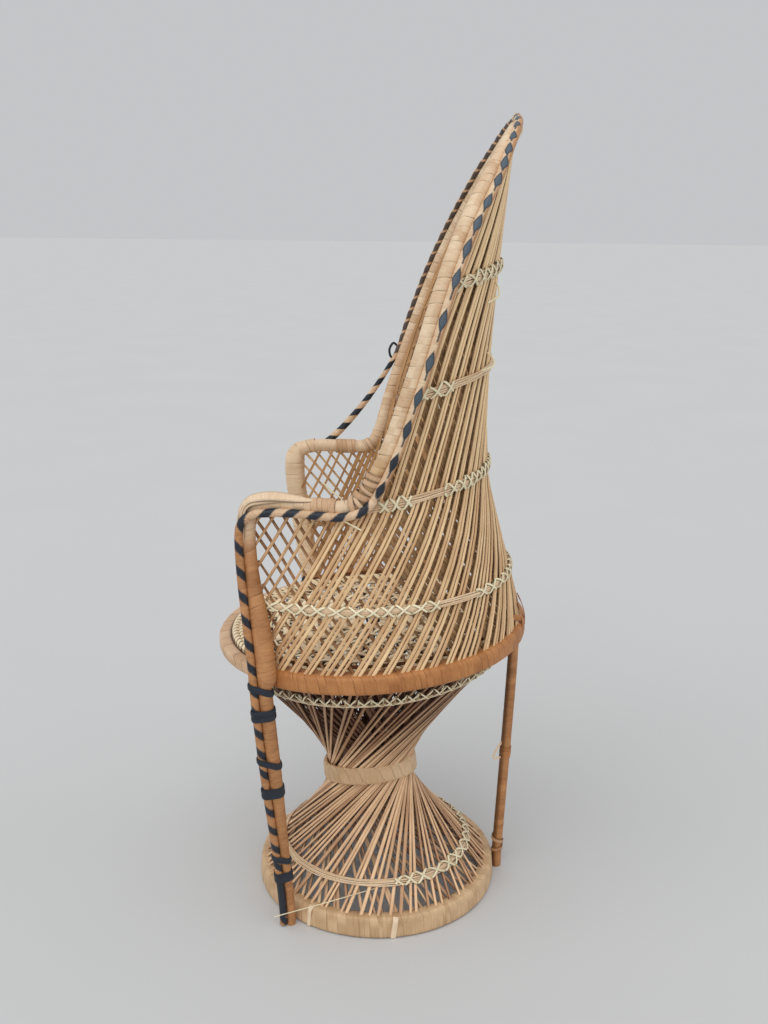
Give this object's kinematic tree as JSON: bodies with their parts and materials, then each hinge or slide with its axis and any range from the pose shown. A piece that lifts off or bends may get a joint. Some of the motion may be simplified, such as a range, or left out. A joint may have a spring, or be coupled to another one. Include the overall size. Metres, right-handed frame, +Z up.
{
  "type": "peacock chair",
  "caption": "Small wicker peacock chair: a woven hourglass pedestal carries a round seat, and a woven back rises to a tall bent arch with short arms.",
  "frame": {"origin": "on the floor, under the middle of the whole chair", "axes": "+Z up, the sitter faces -Y, and right in the names is +X, as seen from the front"},
  "size_m": [0.3238, 0.3232, 0.8052],
  "materials": {
    "frame_cane": "fine wrapped cane, semi-matt orange-brown",
    "hoop_cane": "wide flat cane wraps, semi-matt tan",
    "stakes": "split rattan, dry straw brown",
    "twined_reed": "pale dry reed",
    "black_cane": "blue-black dyed cane, semi-matt"
  },
  "bodies": {
    "root": {"right_arm_pole": "frame_cane", "left_arm_pole": "frame_cane", "rear_leg": "frame_cane", "rear_leg_lashing": "frame_cane", "right_joint_binding": "frame_cane", "left_joint_binding": "frame_cane", "seat_hoop_binding_rear": "frame_cane", "seat_hoop_binding_front": "frame_cane", "back_arch": "hoop_cane", "base_hoop_binding": "hoop_cane", "waist_binding": "hoop_cane", "base_hoop": "stakes", "waist_hoop": "stakes", "seat_hoop": "stakes", "pedestal_outer_stakes": "stakes", "pedestal_inner_stakes": "stakes", "back_outer_stakes": "stakes", "back_inner_stakes": "stakes", "seat_spokes": "stakes", "pedestal_upper_row": "twined_reed", "back_row_2": "twined_reed", "back_row_3": "twined_reed", "back_row_4": "twined_reed", "seat_weaver_1": "twined_reed", "seat_weaver_2": "twined_reed", "seat_weaver_3": "twined_reed", "right_striped_rod": "black_cane", "left_striped_rod": "black_cane", "right_leg_band_1": "black_cane", "right_leg_band_2": "black_cane", "right_leg_band_3": "black_cane", "left_leg_band_1": "black_cane", "left_leg_band_2": "black_cane", "left_leg_band_3": "black_cane"}
  },
  "joints": []
}
